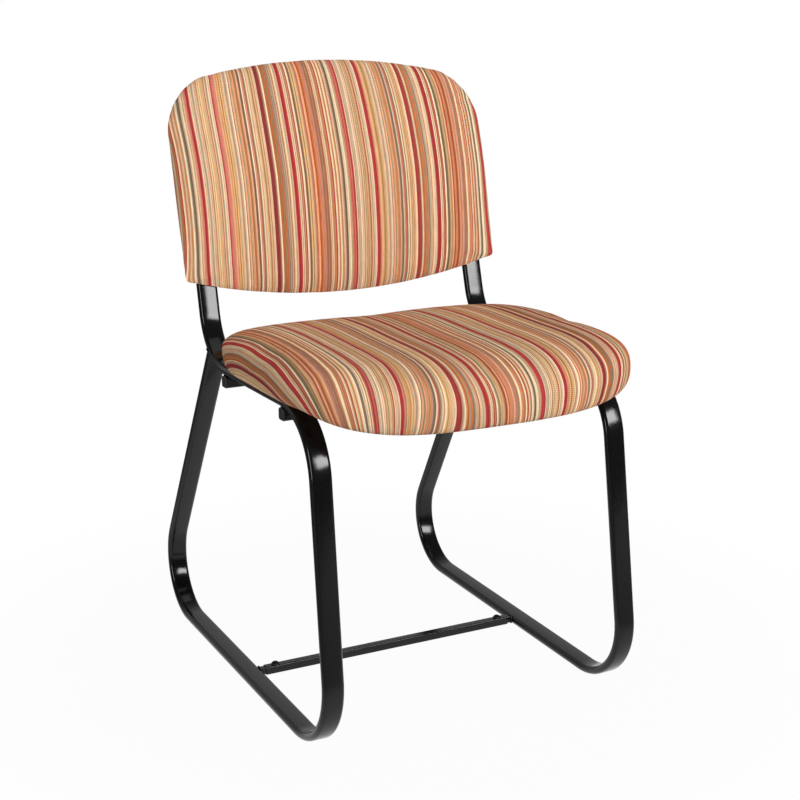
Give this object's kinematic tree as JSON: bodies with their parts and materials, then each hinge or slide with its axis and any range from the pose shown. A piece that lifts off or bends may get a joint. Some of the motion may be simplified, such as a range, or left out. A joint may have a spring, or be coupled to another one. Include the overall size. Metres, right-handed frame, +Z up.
{
  "type": "sled base visitor chair",
  "caption": "Armless visitor chair with a padded striped seat and backrest on a black bent-tube sled base joined by a floor crossbar.",
  "frame": {"origin": "on the floor, below the middle of the chair's own box", "axes": "+Z up; the sitter faces -Y; +X is the sitter's left, the plane x = 0 being the chair's plane of symmetry"},
  "size_m": [0.495, 0.637, 0.8494],
  "materials": {
    "frame_paint": "satin",
    "bolt_finish": "satin",
    "zinc_steel": "satin",
    "cap_plastic": "matte",
    "glide_nylon": "matte",
    "shell_plastic": "fine texture",
    "plywood": "plain",
    "foam": "matte",
    "striped_fabric": "woven",
    "underlining": "matte"
  },
  "bodies": {
    "root": {"side_frame_right": "frame_paint", "side_frame_left": "frame_paint", "seat_cross_rail_rear": "frame_paint", "seat_cross_rail_front": "frame_paint", "floor_crossbar": "frame_paint", "crossbar_spigots": "frame_paint", "crossbar_bolts": "bolt_finish", "post_plugs": "cap_plastic", "cross_rail_end_caps": "cap_plastic", "floor_glides": "glide_nylon", "seat_board": "plywood", "seat_foam": "foam", "seat_cover": "striped_fabric", "seat_underlining": "underlining", "seat_tee_nuts": "zinc_steel", "seat_washers": "zinc_steel", "seat_bolts": "bolt_finish", "back_board": "plywood", "back_foam": "foam", "back_cover": "striped_fabric", "back_tee_nuts": "zinc_steel", "back_bolts": "bolt_finish", "back_shell": "shell_plastic"}
  },
  "joints": []
}
